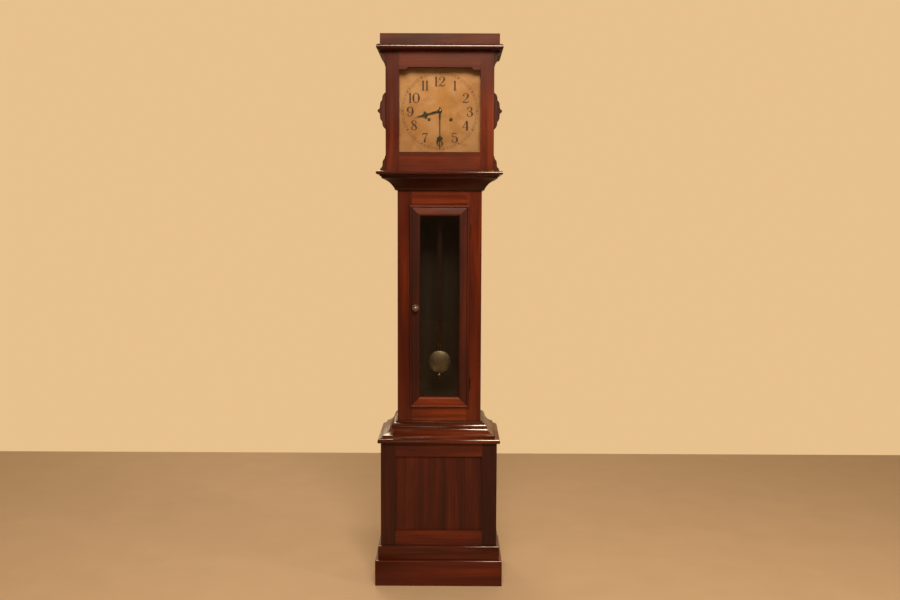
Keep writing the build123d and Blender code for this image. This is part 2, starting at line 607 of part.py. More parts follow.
def save_barrels():
    """Two spring drums with their great wheels, springs and winding arbors."""
    drum_y = (-32, 0)
    wheels_y = {1: (-36, -32), -1: (0, 4)}
    names = {1: "time_winding_arbor", -1: "strike_winding_arbor"}
    drums = []
    springs = []
    to_centre = 180 - 38.48
    for s in (1, -1):
        x = s * WINDING_X
        drum = bar_y(x, WINDING_Z, 26, drum_y)
        drum -= bar_y(x, WINDING_Z, 24.5, (drum_y[0] + 1.5, drum_y[1] - 1.5))
        meshing = to_centre if s == 1 else 97.0
        wheel = gear(x, WINDING_Z, 96, 0.9, wheels_y[s], meshing)
        drums.append(drum + wheel - bar_y(x, WINDING_Z, 8 + RUNNING, (-40, 10)))
        coil_y = (drum_y[0] + 3, drum_y[1] - 3)
        springs.append(bar_y(x, WINDING_Z, 24, coil_y) - bar_y(x, WINDING_Z, 12, coil_y))
        arbor = bar_y(x, WINDING_Z, 4, (FRONT_PLATE[0] - 4, BACK_PLATE[1]))
        arbor += bar_y(x, WINDING_Z, 8, (-38, 6))
        arbor += block((x - 2.4, x + 2.4), (-79, FRONT_PLATE[0]), (WINDING_Z - 2.4, WINDING_Z + 2.4))
        save(names[s], arbor)
    save("spring_barrels", *drums)
    save("mainsprings", *springs)


def escape_wheel():
    """Thirty pointed teeth, with a pallet a quarter pitch from each nearest point."""
    points = []
    for index in range(30):
        tip = 6 + 12 * index
        for r, angle in ((16.6, tip - 9.5), (16.6, tip - 3), (ESCAPE_RADIUS, tip - 0.4), (ESCAPE_RADIUS, tip)):
            points.append((r * cos(radians(angle)), ESCAPE_Z + r * sin(radians(angle))))
    wheel_y = (-19, -17)
    wheel = front_polygon(points, wheel_y) - crossed_out(0, ESCAPE_Z, 5, 13.5, wheel_y)
    pinion = gear(0, ESCAPE_Z, 8, 0.6, (-30, -24), 0)
    return wheel + pinion + bar_y(0, ESCAPE_Z, 1.4, (FRONT_PLATE[0], BACK_PLATE[1]))


def save_trains():
    arbor_y = (FRONT_PLATE[0], BACK_PLATE[1])
    centre = gear(0, DIAL_Z, 14, 0.9, (-37, -31), -38.48 + 180 / 14)
    centre_wheel = gear(0, DIAL_Z, 64, 0.7, (-5, -3), 0)
    centre += centre_wheel - crossed_out(0, DIAL_Z, 5, 18, (-5, -3))
    save("centre_wheel", centre + bar_y(0, DIAL_Z, 1.5, (-83, BACK_PLATE[1])))
    third = gear(THIRD_X, THIRD_Z, 8, 0.7, (-8, 0), mesh_angle(0, DIAL_Z, THIRD_X, THIRD_Z, 64, 0, 8))
    third_teeth = mesh_angle(0, ESCAPE_Z, THIRD_X, THIRD_Z, 8, 0, 60)
    third_wheel = gear(THIRD_X, THIRD_Z, 60, 0.6, (-28, -26), third_teeth)
    third += third_wheel - crossed_out(THIRD_X, THIRD_Z, 4, 14.5, (-28, -26))
    save("third_wheel", third + bar_y(THIRD_X, THIRD_Z, 1.4, arbor_y))
    save("escape_wheel", escape_wheel())

    strike_teeth = mesh_angle(-WINDING_X, WINDING_Z, *PIN_WHEEL, 96, 97.0, 14)
    pin_wheel = gear(*PIN_WHEEL, 14, 0.9, (-1, 5), strike_teeth)
    pin_wheel += gear(*PIN_WHEEL, 60, 0.7, (-9, -7), 90)
    for index in range(8):
        angle = radians(45 * index)
        pin_wheel += bar_y(PIN_WHEEL[0] + 16 * cos(angle), PIN_WHEEL[1] + 16 * sin(angle), 0.8, (-13, -9))
    pin_wheel += bar_y(*PIN_WHEEL, 1.4, arbor_y)
    fly = gear(*FLY, 8, 0.7, (-11, -5), 270 + 22.5)
    fly += block((FLY[0] - 13, FLY[0] + 13), (-36, -22), (FLY[1] - 0.4, FLY[1] + 0.4))
    fly += bar_y(*FLY, 1.4, arbor_y)
    save("strike_train", pin_wheel, fly)


def mesh_angle(x1, z1, x2, z2, teeth1, tooth1, teeth2):
    """A tooth angle for wheel 2 that puts its gap where wheel 1 has a tooth."""
    toward = Vector(x2 - x1, z2 - z1)
    direction = Vector(1, 0).get_signed_angle(toward, Vector(0, 0, 1))
    step1 = 360 / teeth1
    step2 = 360 / teeth2
    ahead = (direction - tooth1) % step1
    return direction + 180 + (ahead / step1) * step2 + step2 / 2


def save_strike():
    hammer = bar_y(*HAMMER, 1.5, (FRONT_PLATE[0], 24))
    stem = block((-1.3, 1.3), (20.7, 23.3), (0, 48))
    hammer += Pos(HAMMER[0], 0, HAMMER[1]) * Rot(0, -29.7, 0) * stem
    head = Pos(-88.5, 22, 1690) * Rot(0, 90, 0) * Cylinder(6, 14)
    save("strike_hammer", hammer + head)
    stand = block((-112, -92), (12, 32), (SEAT_TOP, SEAT_TOP + 24))
    save("gong", stand, bar_z(-100.5, 22, 2.5, (SEAT_TOP + 24, 1895)))


# ---- escapement and pendulum ----
def save_anchor():
    y = (-20, -16)
    anchor = bar_y(0, SWING_Z, 4.5, y)
    nearest = ESCAPE_RADIUS + 0.35
    for s in (45, -45):
        arm = Pos(0, 0, SWING_Z) * Rot(0, s * 2.5, 0) * block((-2, 2), y, (0, 21.5))
        pallet = Pos(0, 0, ESCAPE_Z) * Rot(0, s, 0) * block((-0.5, 0.5), y, (nearest, nearest + 9))
        anchor += arm + pallet
    anchor += bar_y(0, SWING_Z, 1.5, (FRONT_PLATE[0], 17))
    crutch_y = (14, 16)
    crutch_foot = SWING_Z - 118
    anchor += block((-2, 2), crutch_y, (crutch_foot, SWING_Z)) + bar_y(0, SWING_Z, 5, crutch_y)
    inner = ROD_HALF + 0.8
    anchor += block((-inner - 2.5, inner + 2.5), crutch_y, (crutch_foot - 3, crutch_foot + 3))
    for x in (-inner - 2.5, inner):
        anchor += block((x, x + 2.5), (14, 30), (crutch_foot - 3, crutch_foot + 3))
    save("anchor_and_crutch", anchor)


def save_pendulum():
    y = PENDULUM_Y
    bridge = block((-24, 24), (32, 35), (SWING_Z - 4, SWING_Z + 16))
    legs = [block((x, x + 6), (BACK_PLATE[1], 32), (SWING_Z - 4, SWING_Z + 16)) for x in (-24, 18)]
    chops = block((-5, 5), (y - 6, 32), (SWING_Z + 0.5, SWING_Z + 14))
    save("back_cock", bridge + legs[0] + legs[1] + chops)
    save("suspension_spring",
         block((-0.2, 0.2), (y - 4, y + 4), (SWING_Z - 24, SWING_Z - 0.5)),
         block((-5, 5), (y - 4, y + 4), (SWING_Z - 34, SWING_Z - 24)))
    save("pendulum_rod", block((-ROD_HALF, ROD_HALF), (y - 4, y + 4), (ROD_BOTTOM, SWING_Z - 34)))

    screw_end = 736.0
    wires = [bar_z(x, y, 0.9, (BOB_Z - 30, ROD_BOTTOM)) for x in (-4, 4)]
    stirrup = block((-6, 6), (y - 1.5, y + 1.5), (BOB_Z - 33, BOB_Z - 30))
    stirrup += wires[0] + wires[1] + bar_z(0, y, 1.5, (screw_end, BOB_Z - 33))
    save("pendulum_stirrup", stirrup)
    bob = Pos(0, y, BOB_Z) * turned([
        dome((BOB_RADIUS, -1.5), -8.5),
        Line((BOB_RADIUS, -1.5), (BOB_RADIUS, 1.5)),
        dome((BOB_RADIUS, 1.5), 8.5),
        Line((0, 8.5), (0, -8.5)),
    ])
    save("pendulum_bob", bob - stirrup)
    nut = Pos(0, y, 748.5) * Cylinder(5.5, 6) + Pos(0, y, 753.7) * Cone(5.5, 3.2, 4.4)
    save("rating_nut", nut - bar_z(0, y, 1.5 + RUNNING, (740, 760)))


os.makedirs("parts", exist_ok=True)
save_base()
save_trunk()
save_trunk_door()
save_hood()
save_hood_door()
save_dial()
save_plates()
save_barrels()
save_trains()
save_strike()
save_anchor()
save_pendulum()
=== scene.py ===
from math import cos, pi, radians, sin, sqrt

import bmesh
import bpy
from mathutils import Matrix, Vector


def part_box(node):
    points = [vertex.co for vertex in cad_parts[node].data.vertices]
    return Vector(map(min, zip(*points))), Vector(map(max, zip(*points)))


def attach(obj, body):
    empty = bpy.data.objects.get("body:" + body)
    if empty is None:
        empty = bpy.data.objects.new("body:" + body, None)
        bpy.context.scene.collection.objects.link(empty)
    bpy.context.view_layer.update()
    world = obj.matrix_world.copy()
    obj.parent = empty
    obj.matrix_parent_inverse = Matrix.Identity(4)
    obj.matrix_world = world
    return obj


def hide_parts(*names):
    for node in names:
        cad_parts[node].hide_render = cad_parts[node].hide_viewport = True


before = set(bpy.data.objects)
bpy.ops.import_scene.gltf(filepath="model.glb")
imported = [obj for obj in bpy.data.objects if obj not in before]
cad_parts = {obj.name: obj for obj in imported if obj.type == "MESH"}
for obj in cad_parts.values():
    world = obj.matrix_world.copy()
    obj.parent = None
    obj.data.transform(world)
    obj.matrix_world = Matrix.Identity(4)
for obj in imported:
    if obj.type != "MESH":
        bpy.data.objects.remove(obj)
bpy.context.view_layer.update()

# ---- places taken from the frame, in metres ----
DIAL_LOW, DIAL_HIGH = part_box("dial_plate")
DIAL_X = (DIAL_LOW.x + DIAL_HIGH.x) / 2
DIAL_Z = (DIAL_LOW.z + DIAL_HIGH.z) / 2
DIAL_FRONT = DIAL_LOW.y
KNOB_LOW, KNOB_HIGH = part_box("door_knob")
KNOB_X = (KNOB_LOW.x + KNOB_HIGH.x) / 2
KNOB_Z = (KNOB_LOW.z + KNOB_HIGH.z) / 2
BOB_LOW, BOB_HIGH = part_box("pendulum_bob")
BOB_X = (BOB_LOW.x + BOB_HIGH.x) / 2
BOB_Y = (BOB_LOW.y + BOB_HIGH.y) / 2
BOB_Z = (BOB_LOW.z + BOB_HIGH.z) / 2
BOB_RADIUS = (BOB_HIGH.x - BOB_LOW.x) / 2


# ---- node helpers ----
class Nodes:
    """Short names for building one material's node tree."""

    def __init__(self, name):
        self.material = bpy.data.materials.new(name)
        self.material.use_nodes = True
        self.tree = self.material.node_tree
        self.shader = self.tree.nodes["Principled BSDF"]
        self.output = self.tree.nodes["Material Output"]
        self.place = self.add("ShaderNodeTexCoord").outputs["Object"]

    def add(self, kind, **settings):
        node = self.tree.nodes.new(kind)
        for key, value in settings.items():
            setattr(node, key, value)
        return node

    def link(self, source, socket):
        self.tree.links.new(source, socket)

    def fill(self, socket, value):
        if isinstance(value, bpy.types.NodeSocket):
            self.link(value, socket)
        else:
            socket.default_value = value

    def stretched(self, scale, shift=(0, 0, 0)):
        """Object coordinates, scaled and moved."""
        node = self.add("ShaderNodeMapping")
        self.link(self.place, node.inputs["Vector"])
        node.inputs["Scale"].default_value = scale
        node.inputs["Location"].default_value = shift
        return node.outputs["Vector"]

    def noise(self, vector, scale, detail=3.0, distortion=0.0, roughness=0.5):
        node = self.add("ShaderNodeTexNoise")
        self.link(vector, node.inputs["Vector"])
        node.inputs["Scale"].default_value = scale
        node.inputs["Detail"].default_value = detail
        node.inputs["Distortion"].default_value = distortion
        node.inputs["Roughness"].default_value = roughness
        return node.outputs["Fac"]

    def math(self, operation, a, b=0.0):
        node = self.add("ShaderNodeMath", operation=operation)
        self.fill(node.inputs[0], a)
        self.fill(node.inputs[1], b)
        return node.outputs[0]

    def ramp(self, factor, stops):
        """A colour ramp from (position, colour) pairs."""
        node = self.add("ShaderNodeValToRGB")
        self.link(factor, node.inputs["Fac"])
        elements = node.color_ramp.elements
        while len(elements) < len(stops):
            elements.new(0.5)
        for element, (position, colour) in zip(elements, stops):
            element.position = position
            element.color = (*colour, 1.0)
        return node.outputs["Color"]

    def fade(self, value, low, high, to_low=0.0, to_high=1.0):
        node = self.add("ShaderNodeMapRange")
        self.link(value, node.inputs["Value"])
        node.inputs["From Min"].default_value = low
        node.inputs["From Max"].default_value = high
        node.inputs["To Min"].default_value = to_low
        node.inputs["To Max"].default_value = to_high
        return node.outputs["Result"]

    def mix(self, factor, a, b, blend="MIX"):
        node = self.add("ShaderNodeMix", data_type="RGBA", blend_type=blend)
        self.fill(node.inputs["Factor"], factor)
        self.fill(node.inputs["A"], a if isinstance(a, bpy.types.NodeSocket) else (*a, 1.0))
        self.fill(node.inputs["B"], b if isinstance(b, bpy.types.NodeSocket) else (*b, 1.0))
        return node.outputs["Result"]

    def bump(self, height, strength, distance, under=None):
        node = self.add("ShaderNodeBump")
        node.inputs["Strength"].default_value = strength
        node.inputs["Distance"].default_value = distance
        self.link(height, node.inputs["Height"])
        if under is not None:
            self.link(under, node.inputs["Normal"])
        return node.outputs["Normal"]

    def set(self, **values):
        """Sets the shader's sockets; an underscore stands for a space."""
        for key, value in values.items():
            self.fill(self.shader.inputs[key.replace("_", " ")], value)


# ---- wood ----
GRAIN_SQUEEZE = {"x": (0.07, 1, 1), "y": (1, 0.07, 1), "z": (1, 1, 0.07)}
FINE_SQUEEZE = {"x": (0.018, 1, 1), "y": (1, 0.018, 1), "z": (1, 1, 0.018)}


def mahogany(name, grain, seed, tone=1.0, redness=1.0, figure=0.5, polish=1.0):
    """French-polished mahogany: ribbon figure, fine streaks, open pores and a hand-rubbed surface.

    grain is the axis that it runs along, tone is how light it is, figure how strongly the
    ribbons show, and polish how sharp its reflections are.
    """
    n = Nodes(name)
    shift = (seed * 1.7, seed * 2.3, seed * 3.1)
    wide = n.stretched(GRAIN_SQUEEZE[grain], shift)
    fine = n.stretched(FINE_SQUEEZE[grain], shift)
    ribbons = n.noise(wide, 26, 3, 1.1)
    bands = n.noise(wide, 7, 2, 0.6)
    streaks = n.noise(fine, 260, 4, 0.2, 0.6)
    pores = n.noise(fine, 1500, 2)
    cloud = n.noise(n.stretched((1, 1, 1), shift), 3.2, 2)

    mix_all = n.math("MULTIPLY", ribbons, 0.42 * (0.6 + figure))
    mix_all = n.math("ADD", mix_all, n.math("MULTIPLY", bands, 0.36 * (0.6 + figure)))
    mix_all = n.math("ADD", mix_all, n.math("MULTIPLY", streaks, 0.30))
    mix_all = n.fade(mix_all, 0.30 + 0.24 * figure, 0.72 + 0.30 * figure)

    def shade(r, g, b):
        return (r * tone, g * tone / redness, b * tone / redness)

    colour = n.ramp(mix_all, [
        (0.0, shade(0.034, 0.0042, 0.0014)),
        (0.35, shade(0.098, 0.0125, 0.0030)),
        (0.65, shade(0.185, 0.0280, 0.0055)),
        (1.0, shade(0.330, 0.0640, 0.0125)),
    ])
    pore_mask = n.fade(pores, 0.30, 0.42, 0.45, 1.0)
    grey = n.add("ShaderNodeCombineColor")
    for channel in ("Red", "Green", "Blue"):
        n.link(pore_mask, grey.inputs[channel])
    colour = n.mix(0.75, colour, grey.outputs["Color"], "MULTIPLY")
    colour = n.mix(n.fade(cloud, 0.38, 0.62, 0.0, 0.60), colour, shade(0.058, 0.0075, 0.0025))
    shiny = polish > 1
    n.set(Base_Color=colour, Specular_IOR_Level=0.50 if shiny else 0.22)
    smudge = n.noise(n.stretched((1, 1, 1), shift), 14, 4)
    rough_low = 0.26 / polish
    n.set(Roughness=n.fade(smudge, 0.25, 0.75, rough_low, rough_low + 0.16))
    coat = min(1.0, (0.45 if shiny else 0.32) * polish)
    n.set(Coat_Weight=coat, Coat_Roughness=0.14 / polish, Coat_IOR=1.5)
    hollow = n.noise(n.stretched(GRAIN_SQUEEZE[grain], shift), 30, 2)
    normal = n.bump(hollow, 0.05 if shiny else 0.10, 0.0012)
    normal = n.bump(pore_mask, 0.10, 0.0003, normal)
    n.set(Normal=normal)
    n.link(normal, n.shader.inputs["Coat Normal"])
    return n.material


def plain_wood(name, grain, seed):
    """Unpolished inner boards, darkened by age."""
    n = Nodes(name)
    shift = (seed * 1.3, seed * 0.7, seed * 2.9)
    streaks = n.noise(n.stretched(FINE_SQUEEZE[grain], shift), 180, 4)
    bands = n.noise(n.stretched(GRAIN_SQUEEZE[grain], shift), 14, 3, 0.8)
    total = n.math("ADD", n.math("MULTIPLY", streaks, 0.5), n.math("MULTIPLY", bands, 0.5))
    colour = n.ramp(total, [
        (0.3, (0.012, 0.0055, 0.0032)),
        (0.55, (0.030, 0.0140, 0.0078)),
        (0.75, (0.055, 0.028, 0.0155)),
    ])
    n.set(Base_Color=colour)
    n.set(Roughness=n.fade(bands, 0.3, 0.7, 0.62, 0.80))
    n.set(Normal=n.bump(streaks, 0.25, 0.0005))
    return n.material


# ---- metals ----
def metal(name, light, dark, rough, tarnish_scale=40.0, metallic=1.0, brushing=None):
    """A worn metal: two tones of tarnish, uneven polish and, if asked, brushing along one axis."""
    n = Nodes(name)
    tarnish = n.noise(n.place, tarnish_scale, 5, 0.4, 0.6)
    n.set(Base_Color=n.ramp(tarnish, [(0.36, dark), (0.62, light)]), Metallic=metallic)
    n.set(Roughness=n.fade(tarnish, 0.3, 0.7, rough + 0.16, rough))
    scratches = n.noise(n.stretched(FINE_SQUEEZE[brushing or "z"]), 900 if brushing else 400, 3)
    n.set(Normal=n.bump(scratches, 0.14 if brushing else 0.06, 0.0002))
    return n.material


def dial_metal():
    """Thinly lacquered brass, brushed across, more orange in the middle than towards the rim, with random
    stains.
    """
    n = Nodes("dial_brass")
    distance = n.add("ShaderNodeVectorMath", operation="DISTANCE")
    n.link(n.place, distance.inputs[0])
    distance.inputs[1].default_value = (DIAL_X, DIAL_FRONT, DIAL_Z)
    away = n.fade(distance.outputs["Value"], 0.0, 0.19)
    brushing = n.noise(n.stretched(FINE_SQUEEZE["x"]), 700, 3)
    cloud = n.noise(n.place, 11, 4, 0.5)
    stain = n.noise(n.stretched((1, 1, 1), (3, 1, 2)), 34, 5, 0.3)
    warm = n.ramp(away, [
        (0.0, (0.425, 0.205, 0.050)),
        (0.55, (0.370, 0.176, 0.058)),
        (1.0, (0.400, 0.190, 0.078)),
    ])
    pale = n.mix(n.fade(cloud, 0.42, 0.62, 0.0, 0.75), warm, (0.48, 0.275, 0.140))
    worn = n.mix(n.fade(stain, 0.52, 0.70, 0.0, 0.55), pale, (0.29, 0.130, 0.038))
    n.set(Base_Color=worn, Metallic=0.30)
    n.set(Roughness=n.fade(brushing, 0.3, 0.7, 0.36, 0.50))
    n.set(Coat_Weight=0.15, Coat_Roughness=0.25)
    n.set(Normal=n.bump(brushing, 0.10, 0.0002))
    return n.material


def dial_paint():
    """Dark brown wax in the engraved numerals, thinner in places."""
    n = Nodes("numeral_wax")
    wear = n.noise(n.place, 240, 4)
    n.set(Base_Color=n.ramp(wear, [(0.35, (0.030, 0.0070, 0.0025)), (0.75, (0.065, 0.0170, 0.0045))]))
    n.set(Roughness=n.fade(wear, 0.3, 0.7, 0.38, 0.55))
    n.set(Normal=n.bump(wear, 0.15, 0.0001))
    return n.material


def window_glass(name, haze):
    """A thin old pane: clear, with a mirror that grows towards a glancing view, alike on both faces."""
    n = Nodes(name)
    n.tree.nodes.remove(n.shader)
    clear = n.add("ShaderNodeBsdfTransparent")
    clear.inputs["Color"].default_value = (haze, haze, haze * 0.97, 1)
    mirror = n.add("ShaderNodeBsdfGlossy")
    mirror.inputs["Roughness"].default_value = 0.03
    ripple = n.noise(n.place, 9, 2)
    n.link(n.bump(ripple, 0.12, 0.002), mirror.inputs["Normal"])
    slant = n.add("ShaderNodeLayerWeight").outputs["Facing"]
    straight_on = 0.034
    share = n.math("ADD", n.math("MULTIPLY", n.math("POWER", slant, 5.0), 1.0 - straight_on), straight_on)
    both = n.add("ShaderNodeMixShader")
    n.link(share, both.inputs["Fac"])
    n.link(clear.outputs[0], both.inputs[1])
    n.link(mirror.outputs[0], both.inputs[2])
    n.link(both.outputs[0], n.output.inputs["Surface"])
    return n.material


# ---- putting materials and soft edges on the CAD's own pieces ----
def dress(name, *materials, edge=0.0):
    """Gives a CAD node its materials and, if asked, slightly rounded edges."""
    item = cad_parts[name]
    item.data.materials.clear()
    for material in materials:
        item.data.materials.append(material)
    if edge:
        soften(item, edge)
    return item


def soften(item, width):
    """Rounds a piece's sharp edges and keeps its flat faces looking flat."""
    mesh = item.data
    if "custom_normal" in mesh.attributes:
        mesh.attributes.remove(mesh.attributes["custom_normal"])
    mesh.polygons.foreach_set("use_smooth", [True] * len(mesh.polygons))
    weld = item.modifiers.new("weld", "WELD")
    weld.merge_threshold = 0.00002
    bevel = item.modifiers.new("soft_edges", "BEVEL")
    bevel.width = width
    bevel.segments = 2
    bevel.limit_method = "ANGLE"
    bevel.angle_limit = radians(28)
    bevel.miter_outer = "MITER_ARC"
    item.modifiers.new("flat_faces", "WEIGHTED_NORMAL")


def split_wrap(item, half, front):
    """Gives a moulding's front, its side returns and its rubbed upper edges their own material."""
    for face in item.data.polygons:
        if abs(face.center.x) - half > front - face.center.y + 0.00001:
            face.material_index = 1
        elif face.normal.z > 0.1 and face.normal.y < -0.05:
            face.material_index = 2


# widths of the rounding on edges, in metres
BOARD_EDGE = 0.0008
DULL_BOARD_EDGE = 0.0007
PLINTH_EDGE = 0.0012
MOULDING_EDGE = 0.0006
BEAD_EDGE = 0.0004
METAL_EDGE = 0.0003
# polish of the upper edges that hands and dusters have rubbed
RUBBED_POLISH = 2.0


def dress_mouldings():
    """The plinths and mouldings, which run round three sides of the trunk or the base."""
    trunk_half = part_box("trunk_stiles")[1].x
    trunk_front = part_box("trunk_stiles")[0].y
    base_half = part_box("base_stiles")[1].x
    base_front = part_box("base_stiles")[0].y
    # half width and front of what they wrap, tone, redness
    wraps = {
        "lower_plinth": (base_half, base_front, 1.15, 1.1),
        "upper_plinth": (base_half, base_front, 0.68, 1.0),
        "base_moulding": (trunk_half, trunk_front, 0.85, 0.95),
        "trunk_cove": (trunk_half, trunk_front, 0.35, 1.0),
        "hood_ledge": (trunk_half, trunk_front, 0.85, 1.0),
    }
    for seed, (name, (half, front, tone, redness)) in enumerate(wraps.items()):
        across = mahogany(f"{name}_front", "x", seed + 1, tone, redness, 0.5, 0.6)
        along = mahogany(f"{name}_returns", "y", seed + 7, tone, redness, 0.5, 0.8)
        rubbed = mahogany(f"{name}_edges", "x", seed + 1, tone, redness, 0.5, RUBBED_POLISH)
        edge = PLINTH_EDGE if "plinth" in name else MOULDING_EDGE
        split_wrap(dress(name, across, along, rubbed, edge=edge), half, front)


def dress_boards():
    """The case's boards and both door frames."""
    # seed, tone, redness
    tall = {
        "trunk_stiles": (14.9, 0.98, 1.05), "trunk_sides": (15.2, 0.78, 1.0),
        "hood_sides": (16.4, 0.80, 1.0), "hood_door_stiles": (19.9, 0.85, 1.05),
    }
    for name, (seed, tone, redness) in tall.items():
        dress(name, mahogany(name, "z", seed, tone, redness, 0.9), edge=BOARD_EDGE)
    # grain, seed, tone
    # base_rails get a higher tone than base_stiles, and the doors' rails than their stiles: painted sheen,
    # the brighter look of mahogany across its grain
    duller = {
        # the left ears have a lower tone than the right ones: painted shade on the side away from the
        # light
        "hood_ears_left": ("z", 17.8, 0.44), "hood_ears_right": ("z", 18.6, 0.50),
        "trunk_door_stiles": ("z", 20.3, 0.50), "base_stiles": ("z", 11.3, 0.42),
        "base_sides": ("z", 12.1, 0.62), "base_panel": ("z", 13.7, 0.62), "base_rails": ("x", 21.4, 0.85),
    }
    for name, (grain, seed, tone) in duller.items():
        dress(name, mahogany(name, grain, seed, tone, 1.05, 0.6, 0.55), edge=DULL_BOARD_EDGE)
    # seed, tone, polish
    # the door rails' tones here are higher than their stiles': painted sheen, the brighter look of
    # mahogany across its grain
    wide = {
        "trunk_rails": (22.6, 0.92, 1.0), "hood_door_rails": (23.9, 0.97, 0.8),
        "trunk_door_rails": (24.2, 1.1, 0.5), "frieze": (26.5, 0.64, 0.6),
    }
    for name, (seed, tone, polish) in wide.items():
        dress(name, mahogany(name, "x", seed, tone, 1.0, 0.9, polish), edge=BOARD_EDGE)
    for name in ("trunk_glass_beads", "hood_glass_beads"):
        dress(name, mahogany(name, "z", 27.7, 0.6), edge=BEAD_EDGE)
    dress("base_inner_boards", plain_wood("inner_boards", "x", 3))
    dress("backboard", plain_wood("backboard", "z", 5), edge=BOARD_EDGE)
    dress("seat_board", plain_wood("seat_board", "x", 8), edge=BOARD_EDGE)
    dress("pendulum_rod", mahogany("rod_wood", "z", 31, 0.30, 1.0, 0.3, 0.6), edge=MOULDING_EDGE)


def dress_cornice():
    """Its underside is duller than the rest of it, and darker there: the darker tone is painted shade
    under the cornice.
    """
    polished = mahogany("cornice", "x", 25.8, 0.80, 1.0, 0.5, 1.4)
    # the lower tone on the downward faces is painted shade under the cornice; the lower polish is their
    # duller finish
    underside_painted_shade = mahogany("cornice_under_painted_shade", "x", 25.8, 0.50, 1.1, 0.5, 0.35)
    cornice = dress("cornice_board", polished, underside_painted_shade, edge=BOARD_EDGE)
    for face in cornice.data.polygons:
        face.material_index = 1 if face.normal.z < -0.2 else 0


def dress_metal():
    brass = metal("aged_brass", (0.46, 0.30, 0.12), (0.20, 0.125, 0.055), 0.30)
    plate_brass = metal("plate_brass", (0.60, 0.42, 0.17), (0.38, 0.25, 0.10), 0.24, 18, brushing="x")
    wheel_brass = metal("wheel_brass", (0.66, 0.47, 0.19), (0.44, 0.30, 0.12), 0.20, 60)
    steel = metal("steel", (0.42, 0.41, 0.40), (0.20, 0.19, 0.18), 0.26, 50)
    iron = metal("gong_iron", (0.10, 0.10, 0.10), (0.045, 0.042, 0.040), 0.45, 50)
    for name in ("movement_plates", "back_cock"):
        dress(name, plate_brass)
    for name in ("hour_wheel", "minute_wheel", "centre_wheel", "third_wheel", "escape_wheel",
                 "spring_barrels", "strike_train", "cannon_pinion", "pillars_and_dial_feet"):
        dress(name, wheel_brass)
    for name in ("hood_door_pivots", "door_turn_button", "pendulum_stirrup"):
        dress(name, brass, edge=METAL_EDGE)
    bronze = metal("hinge_bronze", (0.170, 0.050, 0.022), (0.090, 0.028, 0.012), 0.42, 70)
    for name in ("trunk_door_hinge_leaves", "trunk_hinge_case_leaves"):
        dress(name, bronze, edge=METAL_EDGE)
    for name in ("mainsprings", "anchor_and_crutch", "suspension_spring", "strike_hammer"):
        dress(name, steel)
    for name in ("gong", "time_winding_arbor", "strike_winding_arbor"):
        dress(name, iron)
    dress("dial_plate", dial_metal(), edge=BEAD_EDGE)
    dress("hood_door_glass", window_glass("hood_glass", 0.98))
    dress("trunk_door_glass", window_glass("trunk_glass", 0.86))


# ---- pieces made here ----
def mesh_piece(name, mesh, body, material, smooth=True):
    """A new visible piece that moves with a body of the part."""
    item = bpy.data.objects.new(name, mesh)
    bpy.context.scene.collection.objects.link(item)
    mesh.materials.append(material)
    if smooth:
        mesh.polygons.foreach_set("use_smooth", [True] * len(mesh.polygons))
    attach(item, body)
    return item


def lathe(name, profile, centre, body, material, steps=96, crease=0.6):
    """A round piece about an axis along Y through centre, from (radius, y) points."""
    work = bmesh.new()
    rings = []
    for radius, y in profile:
        if radius < 1e-7:
            rings.append([work.verts.new((centre[0], y, centre[1]))])
            continue
        ring = []
        for step in range(steps):
            angle = 2 * pi * step / steps
            x = centre[0] + radius * cos(angle)
            z = centre[1] + radius * sin(angle)
            ring.append(work.verts.new((x, y, z)))
        rings.append(ring)
    for near, far in zip(rings, rings[1:]):
        for step in range(steps):
            after = (step + 1) % steps
            near_pair = [near[step % len(near)], near[after % len(near)]]
            far_pair = [far[after % len(far)], far[step % len(far)]]
            unique = list(dict.fromkeys(near_pair + far_pair))
            if len(unique) > 2:
                work.faces.new(unique)
    bmesh.ops.recalc_face_normals(work, faces=work.faces)
    mesh = bpy.data.meshes.new(name)
    work.to_mesh(mesh)
    work.free()
    item = mesh_piece(name, mesh, body, material)
    mesh.set_sharp_from_angle(angle=crease)
    return item


def arc(centre, radius, start, end, steps):
    """Points on an arc in (radius, y), angles in degrees."""
    points = []
    for step in range(steps + 1):
        angle = radians(start + (end - start) * step / steps)
        points.append((centre[0] + radius * cos(angle), centre[1] + radius * sin(angle)))
    return points


# ---- numerals ----
def between(a, b, c, d, t):
    """The Catmull-Rom value at t, which runs from 0 at b to 1 at c."""
    square = 2 * a - 5 * b + 4 * c - d
    cube = 3 * b - a - 3 * c + d
    return 0.5 * (2 * b + (c - a) * t + square * t * t + cube * t ** 3)


def curve_through(points, steps=10):
    """A smooth curve through (x, z, half width) points."""
    result = []
    last = len(points) - 1
    for index in range(last):
        p0 = points[max(index - 1, 0)]
        p1 = points[index]
        p2 = points[index + 1]
        p3 = points[min(index + 2, last)]
        for step in range(steps):
            result.append([between(*four, step / steps) for four in zip(p0, p1, p2, p3)])
    result.append(list(points[last]))
    return result


# half widths of hairlines, stems and serifs, for a digit that is one unit tall
THIN = 0.030
THICK = 0.086
SERIF = 0.026
